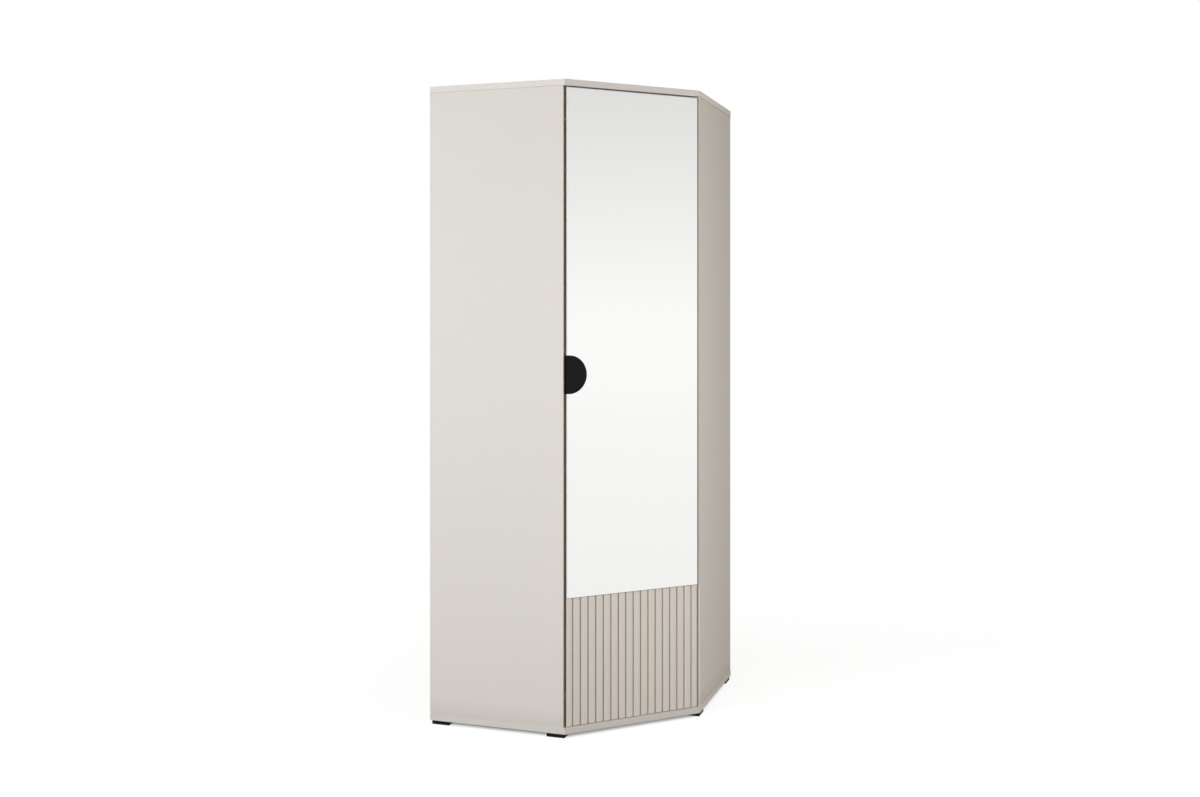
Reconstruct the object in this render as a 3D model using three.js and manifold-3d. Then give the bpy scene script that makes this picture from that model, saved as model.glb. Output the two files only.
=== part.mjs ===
// Corner wardrobe: a five-sided cabinet with one mirrored door across its diagonal front.
// Millimetres, +Z up. The origin is on the floor under the middle of the square plan.
// The room's corner is at +X +Y, and the door faces -X -Y.

import * as THREE from 'three';
import { mergeVertices } from 'three/addons/utils/BufferGeometryUtils.js';
import Module from 'manifold-3d';

const wasm = await Module();
wasm.setup();

// Driving sizes of the cabinet
const wallLength = 785;
const sideDepth = 450;
const totalHeight = 1992;
const footHeight = 12;

// Boards
const deckThick = 19;
const sideThick = 16;
const backThick = 3;
const deckOverhang = 2;
const deckArris = 0.4;
const backMargin = 1.5;
const postWidth = 90;

// Clearances shared by all pieces: between seated pieces, and past a cut's far side
const seatGap = 0.3;
const overrun = 1;

// Facets round a bore or rod, by its size
const smallSides = 8;
const pinSides = 12;
const discSides = 16;
const cupSides = 32;

// Heights and plan lines that the pieces share
const half = wallLength / 2;
const deckTop = footHeight + deckThick;
const ceiling = totalHeight - deckThick;
const backFace = half - backThick;
const frontCorner = half - sideDepth;
const sideOuter = half - deckOverhang;
const sideInner = sideOuter - sideThick;
const postFace = backFace - sideThick;
const postStart = backFace - postWidth;
const middle = 1 / 2;

// Finishes
const board = { color: 0xd3cec6, roughness: 0.55, metalness: 0 };
const hardboard = { color: 0xd9d4cc, roughness: 0.75, metalness: 0 };
const lacquer = { color: 0xcfc9c0, roughness: 0.5, metalness: 0 };
const silver = { color: 0xe4e6e6, roughness: 0.03, metalness: 1 };
const darkMetal = { color: 0x1e1e1e, roughness: 0.5, metalness: 0.3 };
const zinc = { color: 0xb8babd, roughness: 0.35, metalness: 0.9 };
const chrome = { color: 0xdadcdf, roughness: 0.12, metalness: 1 };
const blackPlastic = { color: 0x141414, roughness: 0.6, metalness: 0 };
const clearPlastic = { color: 0xe8e8e4, roughness: 0.3, metalness: 0 };

const wardrobe = new THREE.Group();

// The front frame: X runs left to right along the diagonal front edge, Y goes into the cabinet
const front = new THREE.Group();
front.position.set(-sideDepth / 2, -sideDepth / 2, 0);
front.rotation.z = -Math.PI / 4;
wardrobe.add(front);

function addPiece(name, geometry, finish, frame = wardrobe) {
  const mesh = new THREE.Mesh(geometry, new THREE.MeshStandardMaterial(finish));
  mesh.name = name;
  frame.add(mesh);
}

// Solids from three.js shapes

function boxBetween(low, high) {
  const size = high.map((value, i) => value - low[i]);
  const centre = high.map((value, i) => (value + low[i]) / 2);
  return new THREE.BoxGeometry(...size).translate(...centre);
}

// A closed outline in plan, drawn up from one height to another, with its long edges eased
function slab(outline, low, high, arris = 0) {
  const shape = new THREE.Shape(outline.map(([x, y]) => new THREE.Vector2(x, y)));
  return slabOfShape(shape, low, high, arris);
}

function slabOfShape(shape, low, high, arris = 0, curveSegments = pinSides) {
  const options = { depth: high - low - 2 * arris, bevelEnabled: arris > 0, curveSegments };
  Object.assign(options, { bevelThickness: arris, bevelSize: arris, bevelOffset: -arris });
  options.bevelSegments = 1;
  return new THREE.ExtrudeGeometry(shape, options).translate(0, 0, low + arris);
}

// A turned piece: its profile of [radius, height] points runs from the axis back to the axis
function turned(profile, sides) {
  const points = profile.map(([radius, height]) => new THREE.Vector2(radius, height));
  return new THREE.LatheGeometry(points, sides).rotateX(Math.PI / 2);
}

function rod(radius, from, to, sides = pinSides) {
  return turned([[0, from], [radius, from], [radius, to], [0, to]], sides);
}

// Turns a piece built along +Z to point along a direction, and sets it at a point
function aimed(geometry, direction, [x, y, z]) {
  const up = new THREE.Vector3(0, 0, 1);
  const aim = new THREE.Vector3(...direction).normalize();
  const turn = new THREE.Quaternion().setFromUnitVectors(up, aim);
  return geometry.applyQuaternion(turn).translate(x, y, z);
}

// Boolean joins and cuts

function toManifold(geometry) {
  const bare = geometry.clone();
  bare.deleteAttribute('normal');
  bare.deleteAttribute('uv');
  const merged = mergeVertices(bare);
  const vertProperties = new Float32Array(merged.attributes.position.array);
  const triVerts = new Uint32Array(merged.index.array);
  return new wasm.Manifold(new wasm.Mesh({ numProp: 3, vertProperties, triVerts }));
}

function toGeometry(manifold) {
  const mesh = manifold.getMesh();
  const geometry = new THREE.BufferGeometry();
  geometry.setAttribute('position', new THREE.BufferAttribute(mesh.vertProperties, 3));
  geometry.setIndex(new THREE.BufferAttribute(mesh.triVerts, 1));
  geometry.computeVertexNormals();
  return geometry;
}

function cut(geometry, cutters) {
  const body = toManifold(geometry);
  return toGeometry(cutters.reduce((rest, cutter) => rest.subtract(toManifold(cutter)), body));
}

function fused(geometries) {
  const [first, ...others] = geometries.map(toManifold);
  return toGeometry(others.reduce((sum, other) => sum.add(other), first));
}

// The two sides of the cabinet mirror each other across the plan's diagonal
const sides = ['left', 'right'];

function onSide(side, x, y) {
  return side === 'left' ? [x, y] : [y, x];
}

function sideBox(side, low, high) {
  const [lowX, lowY] = onSide(side, low[0], low[1]);
  const [highX, highY] = onSide(side, high[0], high[1]);
  return boxBetween([lowX, lowY, low[2]], [highX, highY, high[2]]);
}

// A plan point of the front frame from the cabinet's own X and Y
function toFront(x, y) {
  const dx = x + sideDepth / 2;
  const dy = y + sideDepth / 2;
  return [(dx - dy) * Math.SQRT1_2, (dx + dy) * Math.SQRT1_2];
}

// Door sizes that the cabinet's front edges are set to
const doorRecess = 6;
const doorThick = 18;
const doorSideGap = 8;
const doorTopGap = 3.5;
const doorBottomGap = 2;
const doorSquareEdge = 5;

// The side panels' front ends come forward to the plane of the door's face
const sideFront = -sideDepth + doorRecess * Math.SQRT2 + sideOuter;

// Knock-down fittings: a cam in the board's inner face draws on a bolt that stands in the top
// or bottom panel, and glued dowels beside the bolts keep the boards in line
const camRadius = 7.5;
const camDepth = 12.2;
const camReach = 34;
const camSlotWidth = 1.6;
const camSlotDepth = 2;
const boltRadius = 3;
const dowelRadius = 4;
const dowelReach = 14;
const fittingInset = 62;
const dowelStep = 32;

// Where the fittings of one board stand: its middle line, its inner face and places along it
function fittingRows() {
  const inSide = -(sideOuter - sideThick * middle);
  const inPost = backFace - sideThick * middle;
  const postMiddle = (postStart + postFace) / 2;
  const ends = [sideFront + fittingInset, backFace - fittingInset];
  const pegs = [ends[0] + dowelStep, ends[1] - dowelStep];
  return {
    side: { line: inSide, face: -sideInner, inward: 1, cams: ends, dowels: pegs },
    post: { line: inPost, face: postFace, inward: -1, cams: [postMiddle], dowels: [] },
  };
}

// A post's line and places swap axes, because it lies along the wall behind it
function fittingPoint(side, board, line, along) {
  return board === 'side' ? onSide(side, line, along) : onSide(side, along, line);
}

function camLocks(side, board, cutting) {
  const row = fittingRows()[board];
  const gap = cutting ? seatGap : 0;
  const aim = fittingPoint(side, board, row.inward, 0);
  return row.cams.flatMap((along) => [-1, 1].map((end) => {
    const z = (end > 0 ? ceiling : deckTop) - end * camReach;
    const disc = rod(camRadius + gap, -camDepth - gap, cutting ? overrun : 0, discSides);
    const slot = boxBetween(
      [-camRadius * middle, -camSlotWidth / 2, -camSlotDepth],
      [camRadius * middle, camSlotWidth / 2, overrun],
    );
    const solid = cutting ? disc : cut(disc, [slot]);
    return aimed(solid, [...aim, 0], [...fittingPoint(side, board, row.face, along), z]);
  }));
}

// Bolts and dowels at one end of the boards, as studs of the panel or as their holes
function studs(side, board, end, cutting) {
  const row = fittingRows()[board];
  const gap = cutting ? seatGap : 0;
  const endZ = end > 0 ? ceiling : deckTop;
  const root = cutting ? overrun : deckThick * middle;
  const boltReach = cutting ? camReach : camReach - camRadius - seatGap;
  const kinds = [[row.cams, boltRadius, boltReach], [row.dowels, dowelRadius, dowelReach + gap]];
  return kinds.flatMap(([places, radius, reach]) => places.map((along) => {
    const stud = rod(radius + gap, -reach, root, smallSides);
    return aimed(stud, [0, 0, end], [...fittingPoint(side, board, row.line, along), endZ]);
  }));
}

function allStuds(end, cutting) {
  return sides.flatMap((side) => ['side', 'post'].flatMap((board) => studs(side, board, end, cutting)));
}

// Top and bottom panels: square boards with the front corner cut off along the diagonal
function deckOutline() {
  return [
    [-half, frontCorner], [frontCorner, -half], [backFace, -half],
    [backFace, backFace], [-half, backFace],
  ];
}

// Feet: low blocks under the five corners, each with the nail that holds it moulded in
const footLength = 58;
const footInset = 3;
const footBackInset = 7;
const footCorner = 1.5;
const footNailRadius = 1.5;
const footNailBite = 12;

// The middle of each foot in plan
function footSpots() {
  const reach = footLength / 2;
  const sideLine = half - footInset - reach;
  const backLine = half - footBackInset - reach;
  const cornerLine = frontCorner + footInset + reach;
  return {
    foot_back_left: [-sideLine, backLine],
    foot_left_corner: [-sideLine, cornerLine],
    foot_right_corner: [cornerLine, -sideLine],
    foot_back_right: [backLine, -sideLine],
    foot_back_corner: [backLine, backLine],
  };
}

function footNail(gap) {
  const top = footHeight + footNailBite;
  return rod(footNailRadius + gap, footHeight * middle, top + gap, smallSides);
}

function footBlock() {
  const end = footLength / 2;
  const eased = end - footCorner;
  const outline = [
    [-eased, -end], [eased, -end], [end, -eased], [end, eased],
    [eased, end], [-eased, end], [-end, eased], [-end, -eased],
  ];
  return fused([slab(outline, 0, footHeight - seatGap), footNail(0)]);
}

function buildDecks() {
  const spots = footSpots();
  const nailHoles = Object.values(spots).map(([x, y]) => footNail(seatGap).translate(x, y, 0));
  const bottom = cut(slab(deckOutline(), footHeight, deckTop, deckArris), nailHoles);
  const top = slab(deckOutline(), ceiling, totalHeight, deckArris);
  addPiece('bottom_panel', fused([bottom, ...allStuds(-1, false)]), board);
  addPiece('top_panel', fused([top, ...allStuds(1, false)]), board);
  for (const [name, [x, y]] of Object.entries(spots)) {
    addPiece(name, footBlock().translate(x, y, 0), blackPlastic);
  }
}

// Shelf: five-sided like the panels, notched round the corner posts, lying on six steel pins
const shelfThick = 16;
const hatSpace = 316;
const shelfGap = 1;
const shelfSetBack = 34;
const shelfArris = 0.6;
const pinRadius = 2.5;
const pinStubRadius = 3.5;
const pinBite = 9;
const pinReach = 9;
const pinFrontInset = 140;
const pinBackInset = 70;

const shelfHeight = ceiling - hatSpace - shelfThick;

function shelfOutline() {
  const edge = sideInner - shelfGap;
  const rear = backFace - shelfGap;
  const setBack = (doorRecess + doorThick + shelfSetBack) * Math.SQRT2;
  const corner = -sideDepth + setBack + edge;
  const notch = postStart - shelfGap;
  const inner = postFace - shelfGap;
  return [
    [-edge, corner], [corner, -edge], [rear, -edge], [rear, notch], [inner, notch],
    [inner, inner], [notch, inner], [notch, rear], [-edge, rear],
  ];
}

// A stepped pin: its thin end bites into the board, and the shelf rests on its thicker stub
function shelfPin() {
  return turned([
    [0, -pinBite], [pinRadius, -pinBite], [pinRadius, seatGap], [pinStubRadius, seatGap],
    [pinStubRadius, pinReach], [0, pinReach],
  ], pinSides);
}

function pinPlaces(side) {
  const postMiddle = (postStart + postFace) / 2;
  return [
    { board: 'side', place: 'front', at: [-sideInner, sideFront + pinFrontInset], aim: [1, 0] },
    { board: 'side', place: 'back', at: [-sideInner, backFace - pinBackInset], aim: [1, 0] },
    { board: 'post', place: 'corner', at: [postMiddle, postFace], aim: [0, -1] },
  ].map((pin) => ({ ...pin, at: onSide(side, ...pin.at), aim: onSide(side, ...pin.aim) }));
}

function setPin(geometry, { at, aim }) {
  return aimed(geometry, [...aim, 0], [...at, shelfHeight - pinStubRadius - seatGap]);
}

function pinHoles(side, board) {
  const hole = () => rod(pinRadius + seatGap, -pinBite - seatGap, overrun);
  return pinPlaces(side).filter((pin) => pin.board === board).map((pin) => setPin(hole(), pin));
}

// Door and hinge lines, in the front frame
const doorHalf = (wallLength - sideDepth) * Math.SQRT1_2 - doorSideGap;
const doorBack = doorRecess + doorThick;
const doorSquareEnd = doorRecess + doorSquareEdge;
const doorBackHalf = doorHalf - (doorThick - doorSquareEdge);
const doorLow = deckTop + doorBottomGap;
const doorHigh = ceiling - doorTopGap;

// Concealed hinges for the obtuse corner: a cup let into the door, a cranked arm on a plate
// on the right side panel, and a goose-neck link pivoted in both
const hingeCount = 4;
const hingeEndInset = 100;
const cupRadius = 17.5;
const cupDepth = 11.2;
const cupWall = 1.2;
const cupRimInset = 3;
const cupNotchDepth = 6;
const flangeThick = 1.2;
const flangeRadius = 18.5;
const flangeHalfWidth = 11;
const flangeHalfHeight = 31;
const flangeCorner = 5;
const cupPivotInset = 23.5;
const cupPivotDepth = 6;
const armPivotInset = 59.5;
const armPivotRise = 6;
const hingePinRadius = 1.5;
const linkEyeRadius = 3.2;
const linkThick = 3;
const linkHalfWidth = 6;
const cheekGap = 0.4;
const cheekThick = 1.5;
const cheekDepth = 4;
const webThick = 2;
const webClear = 4;
const armNose = 4;
const armSeat = 12;
const armEnd = 60;
const plateThick = 2;
const plateStart = 18;
const plateHalfWidth = 9;
const plateScrewLine = 37;
const plateScrewSpacing = 16;
const plateWingHalf = 7;
const plateWingReach = 22;
const blockStart = 20;
const blockEnd = 58;
const screwRadius = 1.8;
const screwHeadRadius = 3.8;
const screwHeadThick = 1.6;
const screwBite = 10;
const cupScrewSpacing = 24;
const cupScrewBite = 8;
const armScrewBite = 6;

const cupCentre = doorBackHalf - cupRimInset - cupRadius;
const cupPivot = [doorHalf - cupPivotInset, doorBack - cupPivotDepth];
const armPivot = [doorHalf - armPivotInset, doorBack + armPivotRise];
const cheekInner = linkHalfWidth + cheekGap;
const cheekOuter = cheekInner + cheekThick;

function hingeHeights() {
  const low = doorLow + hingeEndInset;
  const high = doorHigh - hingeEndInset;
  return Array.from({ length: hingeCount }, (_, i) => low + (high - low) * i / (hingeCount - 1));
}

// A screw whose head stands on a face at height 0 and whose shank bites along -Z
function screw(bite) {
  return turned([
    [0, -bite], [screwRadius, -bite], [screwRadius, 0], [screwHeadRadius, 0],
    [screwHeadRadius, screwHeadThick], [0, screwHeadThick],
  ], smallSides);
}

function screwHole(bite) {
  return rod(screwRadius + seatGap, -bite - seatGap, overrun, smallSides);
}

// Both screws of every hinge plate go square into the right side panel
function plateScrewHoles() {
  return hingeHeights().flatMap((z) => [-1, 1].map((end) => {
    const spot = [sideFront + plateScrewLine, -sideInner, z + end * plateScrewSpacing];
    return aimed(screwHole(screwBite), [0, 1, 0], spot);
  }));
}

function buildStandingBoards() {
  for (const side of sides) {
    const holesIn = (name) => {
      const ends = [-1, 1].flatMap((end) => studs(side, name, end, true));
      return [...camLocks(side, name, true), ...ends, ...pinHoles(side, name)];
    };
    const panel = sideBox(side, [-sideOuter, sideFront, deckTop], [-sideInner, backFace, ceiling]);
    const hingeHoles = side === 'right' ? plateScrewHoles() : [];
    addPiece(`${side}_side_panel`, cut(panel, [...holesIn('side'), ...hingeHoles]), board);
    const postEnd = side === 'left' ? backFace : postFace;
    const post = sideBox(side, [postStart, postFace, deckTop], [postEnd, backFace, ceiling]);
    addPiece(`corner_post_${side}`, cut(post, holesIn('post')), board);
    const sheetEnd = side === 'left' ? backFace : half;
    const sheetLow = [-sideOuter, backFace, footHeight + backMargin];
    const sheet = sideBox(side, sheetLow, [sheetEnd, half, totalHeight - backMargin]);
    addPiece(`back_sheet_${side}`, sheet, hardboard);
    ['side', 'post'].forEach((name) => camLocks(side, name, false).forEach((cam, i) => {
      addPiece(`cam_lock_${side}_${name}_${i + 1}`, cam, zinc);
    }));
    pinPlaces(side).forEach((pin) => {
      addPiece(`shelf_pin_${side}_${pin.place}`, setPin(shelfPin(), pin), zinc);
    });
  }
}

// Hanging rail: an oval tube along the diagonal, held by two rings that hang from the shelf
const railLength = 560;
const railHeight = 30;
const railWidth = 15;
const railWall = 1.2;
const railDrop = 52;
const railFromFront = 400;
const ringWall = 2.5;
const ringWidth = 14;
const ringInset = 6;
const stemWidth = 12;
const hangerFootLength = 46;
const hangerFootThick = 3;
const hangerScrewSpacing = 15;

function oval(width, height, Path = THREE.Shape) {
  const radius = width / 2;
  const reach = height / 2 - radius;
  const path = new Path();
  path.absarc(0, reach, radius, 0, Math.PI, false);
  path.absarc(0, -reach, radius, Math.PI, Math.PI * 2, false);
  return path;
}

// Lays a section drawn in X and Y on its side, so that it runs along X of the front frame
function alongFront(geometry, x) {
  const z = shelfHeight - seatGap - railDrop;
  return geometry.rotateX(Math.PI / 2).rotateZ(Math.PI / 2).translate(x, railFromFront, z);
}

function railTube() {
  const section = oval(railWidth, railHeight);
  section.holes.push(oval(railWidth - 2 * railWall, railHeight - 2 * railWall, THREE.Path));
  return slabOfShape(section, -railLength / 2, railLength / 2, 0, smallSides);
}

// A hanger's ring, stem and foot, with its two screws up into the shelf
function railHanger() {
  const outside = 2 * (seatGap + ringWall);
  const bore = oval(railWidth + 2 * seatGap, railHeight + 2 * seatGap);
  const ring = slabOfShape(oval(railWidth + outside, railHeight + outside), 0, ringWidth, 0, smallSides);
  const stem = boxBetween(
    [-stemWidth / 2, railHeight / 2 + seatGap, 0],
    [stemWidth / 2, railDrop - hangerFootThick / 2, ringWidth],
  );
  const foot = boxBetween(
    [-hangerFootLength / 2, railDrop - hangerFootThick, 0],
    [hangerFootLength / 2, railDrop, ringWidth],
  );
  const hole = slabOfShape(bore, -overrun, ringWidth + overrun, 0, smallSides);
  const screws = [-1, 1].map((end) => {
    const spot = [end * hangerScrewSpacing, railDrop - hangerFootThick, ringWidth / 2];
    return aimed(screw(screwBite + hangerFootThick), [0, -1, 0], spot);
  });
  return fused([cut(fused([ring, stem, foot]), [hole]), ...screws]);
}

function buildShelfAndRail() {
  const ringStart = railLength / 2 - ringInset - ringWidth;
  const starts = { left: -ringStart - ringWidth, right: ringStart };
  const shelfHoles = [];
  for (const side of sides) {
    addPiece(`rail_hanger_${side}`, alongFront(railHanger(), starts[side]), zinc, front);
    for (const end of [-1, 1]) {
      const hole = screwHole(screwBite).rotateX(Math.PI);
      const inward = railFromFront + end * hangerScrewSpacing;
      hole.translate(starts[side] + ringWidth / 2, inward, shelfHeight);
      shelfHoles.push(hole.applyMatrix4(frontMatrix()));
    }
  }
  addPiece('hanging_rail', alongFront(railTube(), 0), chrome, front);
  const shelf = slab(shelfOutline(), shelfHeight, shelfHeight + shelfThick, shelfArris);
  addPiece('hat_shelf', cut(shelf, shelfHoles), board);
}

// Places a solid of the front frame among the cabinet's own pieces
function frontMatrix() {
  front.updateMatrix();
  return front.matrix;
}

// Door: a routed board whose face carries upright flutes below the mirror, and whose back
// edges are bevelled so that it swings clear of the side panels' inner corners
const fluteCount = 17;
const flutePitch = 26;
const fluteFloor = 4;
const fluteDepth = 4.5;
const fluteShoulder = 1.6;
const fluteShoulderShares = [[1, 0], [0.45, 0.12], [0.12, 0.42], [0, 1]];
const fluteRunUp = 14;

// Mirror: a glued sheet with polished edges that covers the door's face above the flutes
const mirrorInset = 0.3;
const mirrorBottom = 422;
const mirrorTopInset = 2.5;
const mirrorProud = 4;
const mirrorArris = 0.5;

const mirrorTop = doorHigh - mirrorTopInset;
const mirrorFront = doorRecess - mirrorProud;

// One flute's section: a narrow flat floor and rounded shoulders that open on to the ribs
function fluteOutline(centre) {
  const right = fluteShoulderShares.map(([across, down]) => {
    return [fluteFloor / 2 + fluteShoulder * across, doorRecess + fluteDepth * down];
  });
  right.unshift([fluteFloor / 2 + fluteShoulder, doorRecess - overrun]);
  const left = right.map(([x, y]) => [-x, y]).reverse();
  return [...right, ...left].map(([x, y]) => [centre + x, y]);
}

function fluteCutters() {
  const first = -flutePitch * (fluteCount - 1) / 2;
  return Array.from({ length: fluteCount }, (_, i) => {
    const outline = fluteOutline(first + flutePitch * i);
    return slab(outline, doorLow - overrun, mirrorBottom + fluteRunUp);
  });
}

function cupHoles() {
  return hingeHeights().flatMap((z) => {
    const bore = rod(cupRadius + seatGap, -cupDepth - seatGap, overrun, cupSides);
    const holes = [-1, 1].map((end) => {
      const spot = [cupCentre, doorBack, z + end * cupScrewSpacing];
      return aimed(screwHole(cupScrewBite), [0, 1, 0], spot);
    });
    return [aimed(bore, [0, 1, 0], [cupCentre, doorBack, z]), ...holes];
  });
}

function buildDoor() {
  const blank = slab([
    [-doorHalf, doorRecess], [doorHalf, doorRecess], [doorHalf, doorSquareEnd],
    [doorBackHalf, doorBack], [-doorBackHalf, doorBack], [-doorHalf, doorSquareEnd],
  ], doorLow, doorHigh);
  const handleHoles = placedHandleScrews(seatGap);
  const door = cut(blank, [...fluteCutters(), ...cupHoles(), ...handleHoles]);
  addPiece('door_panel', door, lacquer, front);
  const width = doorHalf - mirrorInset;
  const sheet = [[-width, mirrorBottom], [width, mirrorBottom], [width, mirrorTop], [-width, mirrorTop]];
  const glass = slab(sheet, seatGap, mirrorProud, mirrorArris);
  addPiece('mirror', glass.rotateX(Math.PI / 2).translate(0, doorRecess, 0), silver, front);
}

// Handle: a half-moon plate on the mirror that wraps round the door's edge and on to its bevel
const handleCentre = 1098;
const handleRadius = 58.5;
const handleFlat = 9;
const handleThick = 3;
const handleWrap = 1.8;
const handleTail = 12;
const handleArris = 0.9;
const handleSegments = 28;
const handleScrewRadius = 1.6;
const handleScrewHead = 3.2;
const handleScrewHeadThick = 1;
const handleScrewBite = 8;
const handleScrewSpacing = 38;

// Plan points at a distance outside the door's left edge: level with the plate, at the corner
// where the bevel starts, and at the wrap's tail on the bevel
function edgeLine(distance, frontY) {
  const cornerY = doorSquareEnd + distance * (Math.SQRT2 - 1);
  const tail = handleTail * Math.SQRT1_2;
  return [
    [-doorHalf - distance, frontY], [-doorHalf - distance, cornerY],
    [-doorHalf - distance + tail, cornerY + tail],
  ];
}

// A countersunk screw, its flat head flush at height 0, or its hole with a gap all round
function handleScrew(gap) {
  const top = gap > 0 ? overrun : 0;
  const profile = [
    [0, -handleScrewBite - gap], [handleScrewRadius + gap, -handleScrewBite - gap],
    [handleScrewRadius + gap, -handleScrewHeadThick - gap], [handleScrewHead + gap, 0],
  ];
  const closing = gap > 0 ? [[handleScrewHead + gap, top], [0, top]] : [[0, top]];
  return turned([...profile, ...closing], pinSides);
}

function placedHandleScrews(gap) {
  const along = (handleTail / 2) * Math.SQRT1_2;
  const out = (seatGap + handleWrap) * Math.SQRT1_2;
  return [-1, 1].map((end) => {
    const z = handleCentre + end * handleScrewSpacing;
    const spot = [-doorHalf + along - out, doorSquareEnd + along + out, z];
    return aimed(handleScrew(gap), [-1, 1, 0], spot);
  });
}

function buildHandle() {
  const back = mirrorFront - seatGap;
  const left = -doorHalf - seatGap - handleWrap;
  const face = new THREE.Shape();
  face.moveTo(left, -handleRadius);
  face.lineTo(left + handleFlat, -handleRadius);
  face.absarc(left + handleFlat, 0, handleRadius, -Math.PI / 2, Math.PI / 2, false);
  face.lineTo(left, handleRadius);
  const plate = slabOfShape(face, 0, handleThick, handleArris, handleSegments);
  plate.rotateX(Math.PI / 2).translate(0, back, handleCentre);
  const inner = edgeLine(seatGap, back - handleThick / 2);
  const outer = edgeLine(seatGap + handleWrap, back - handleThick / 2);
  const reach = handleRadius - handleArris;
  const wrap = slab([...inner, ...outer.reverse()], handleCentre - reach, handleCentre + reach);
  const handle = cut(fused([plate, wrap]), placedHandleScrews(seatGap));
  addPiece('handle', handle, darkMetal, front);
  const places = ['low', 'high'];
  placedHandleScrews(0).forEach((solid, i) => {
    addPiece(`handle_screw_${places[i]}`, solid, darkMetal, front);
  });
}

// Soft pads on the left side panel's front end, where the closed door's bevel comes to rest
const padRadius = 2.5;
const padShares = [0.05, 0.4, 0.95];

function buildPads() {
  const bevelY = -sideDepth / 2 + (doorHalf + doorSquareEnd) * Math.SQRT1_2;
  const thick = sideFront - bevelY - seatGap;
  padShares.forEach((share, i) => {
    const z = doorLow + (doorHigh - doorLow) * share;
    const spot = [-sideInner - padRadius, sideFront, z];
    addPiece(`door_pad_${i + 1}`, aimed(rod(padRadius, 0, thick), [0, -1, 0], spot), clearPlastic);
  });
}

// Plan point of the front frame, from its distance behind the right panel's front end and
// its distance off that panel's inner face
function panelPoint(along, off) {
  return toFront(sideFront + along, -sideInner + off);
}

// Where a line at a depth in the front frame meets a line at a distance off the right panel
function crankPoint(depth, off) {
  const [, start] = panelPoint(0, 0);
  return panelPoint((depth - start) * Math.SQRT2 - off, off);
}

// The arm: a folded channel of a web and two cheeks that carries the link's pin at its nose
function hingeArm(z) {
  const webY = armPivot[1] + webClear;
  const nose = armPivot[0] - armNose;
  const web = slab([
    [nose, webY], crankPoint(webY, armSeat), panelPoint(armEnd, armSeat),
    panelPoint(armEnd, armSeat + webThick), crankPoint(webY + webThick, armSeat + webThick),
    [nose, webY + webThick],
  ].reverse(), -cheekOuter, cheekOuter);
  const edge = webY - cheekDepth;
  const foot = armPivot[1] - linkEyeRadius;
  const inside = webThick / 2;
  const cheekOutline = [
    [nose, foot], [armPivot[0] + armNose, foot], [armPivot[0] + 2 * armNose, edge],
    crankPoint(edge, armSeat - cheekDepth), panelPoint(armEnd, armSeat - cheekDepth),
    panelPoint(armEnd, armSeat + inside), crankPoint(webY + inside, armSeat + inside),
    [nose, webY + inside],
  ];
  const cheeks = [[-cheekOuter, -cheekInner], [cheekInner, cheekOuter]]
    .map(([low, high]) => slab(cheekOutline, low, high));
  const pin = rod(hingePinRadius, -cheekOuter, cheekOuter).translate(...armPivot, 0);
  const spot = [...panelPoint(plateScrewLine, armSeat + webThick), 0];
  const fixing = aimed(screw(armScrewBite + webThick), [-1, 1, 0], spot);
  return fused([web, ...cheeks, pin, fixing]).translate(0, 0, z);
}

// The plate: a cross of sheet steel under a raised block that the arm's channel fits over,
// with its two screws standing in it
function hingePlate(z) {
  const wall = -sideInner + seatGap;
  const face = wall + plateThick;
  const blockTop = -sideInner + armSeat - seatGap;
  const strip = boxBetween(
    [sideFront + plateStart, wall, -plateHalfWidth], [sideFront + armEnd, face, plateHalfWidth],
  );
  const line = sideFront + plateScrewLine;
  const wings = boxBetween(
    [line - plateWingHalf, wall, -plateWingReach], [line + plateWingHalf, face, plateWingReach],
  );
  const block = boxBetween(
    [sideFront + blockStart, wall + plateThick / 2, -linkHalfWidth],
    [sideFront + blockEnd, blockTop, linkHalfWidth],
  );
  const bored = cut(block, [aimed(screwHole(armScrewBite), [0, 1, 0], [line, blockTop, 0])]);
  const screws = [-1, 1].map((end) => {
    const spot = [line, face, end * plateScrewSpacing];
    return aimed(screw(screwBite + plateThick), [0, 1, 0], spot);
  });
  return fused([strip, wings, bored, ...screws]).translate(0, 0, z);
}

// The goose-neck's middle line, in shares of the pivots' distance: along it and to its side
const linkBendShares = [
  [0, 0], [0.11, 0.08], [0.26, 0.11], [0.42, 0.075], [0.58, 0.002], [0.76, -0.03], [1, 0],
];
const linkSteps = 12;

function hingeLink(z) {
  const from = new THREE.Vector2(...cupPivot);
  const reach = new THREE.Vector2(...armPivot).sub(from);
  const sideways = new THREE.Vector2(-reach.y, reach.x);
  const line = new THREE.SplineCurve(linkBendShares.map(([along, across]) => {
    return from.clone().addScaledVector(reach, along).addScaledVector(sideways, across);
  }));
  const edges = [[], []];
  for (let i = 0; i <= linkSteps; i += 1) {
    const point = line.getPoint(i / linkSteps);
    const run = line.getTangent(i / linkSteps);
    const out = new THREE.Vector2(-run.y, run.x).multiplyScalar(linkThick / 2);
    edges[0].push(point.clone().sub(out).toArray());
    edges[1].push(point.clone().add(out).toArray());
  }
  const neck = slab([...edges[0], ...edges[1].reverse()], -linkHalfWidth, linkHalfWidth);
  const pivots = [cupPivot, armPivot];
  const eyes = pivots.map(([x, y]) => {
    return rod(linkEyeRadius, -linkHalfWidth, linkHalfWidth, discSides).translate(x, y, 0);
  });
  const past = linkHalfWidth + overrun;
  const bores = pivots.map(([x, y]) => rod(hingePinRadius + seatGap, -past, past).translate(x, y, 0));
  return cut(fused([neck, ...eyes]), bores).translate(0, 0, z);
}

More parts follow.
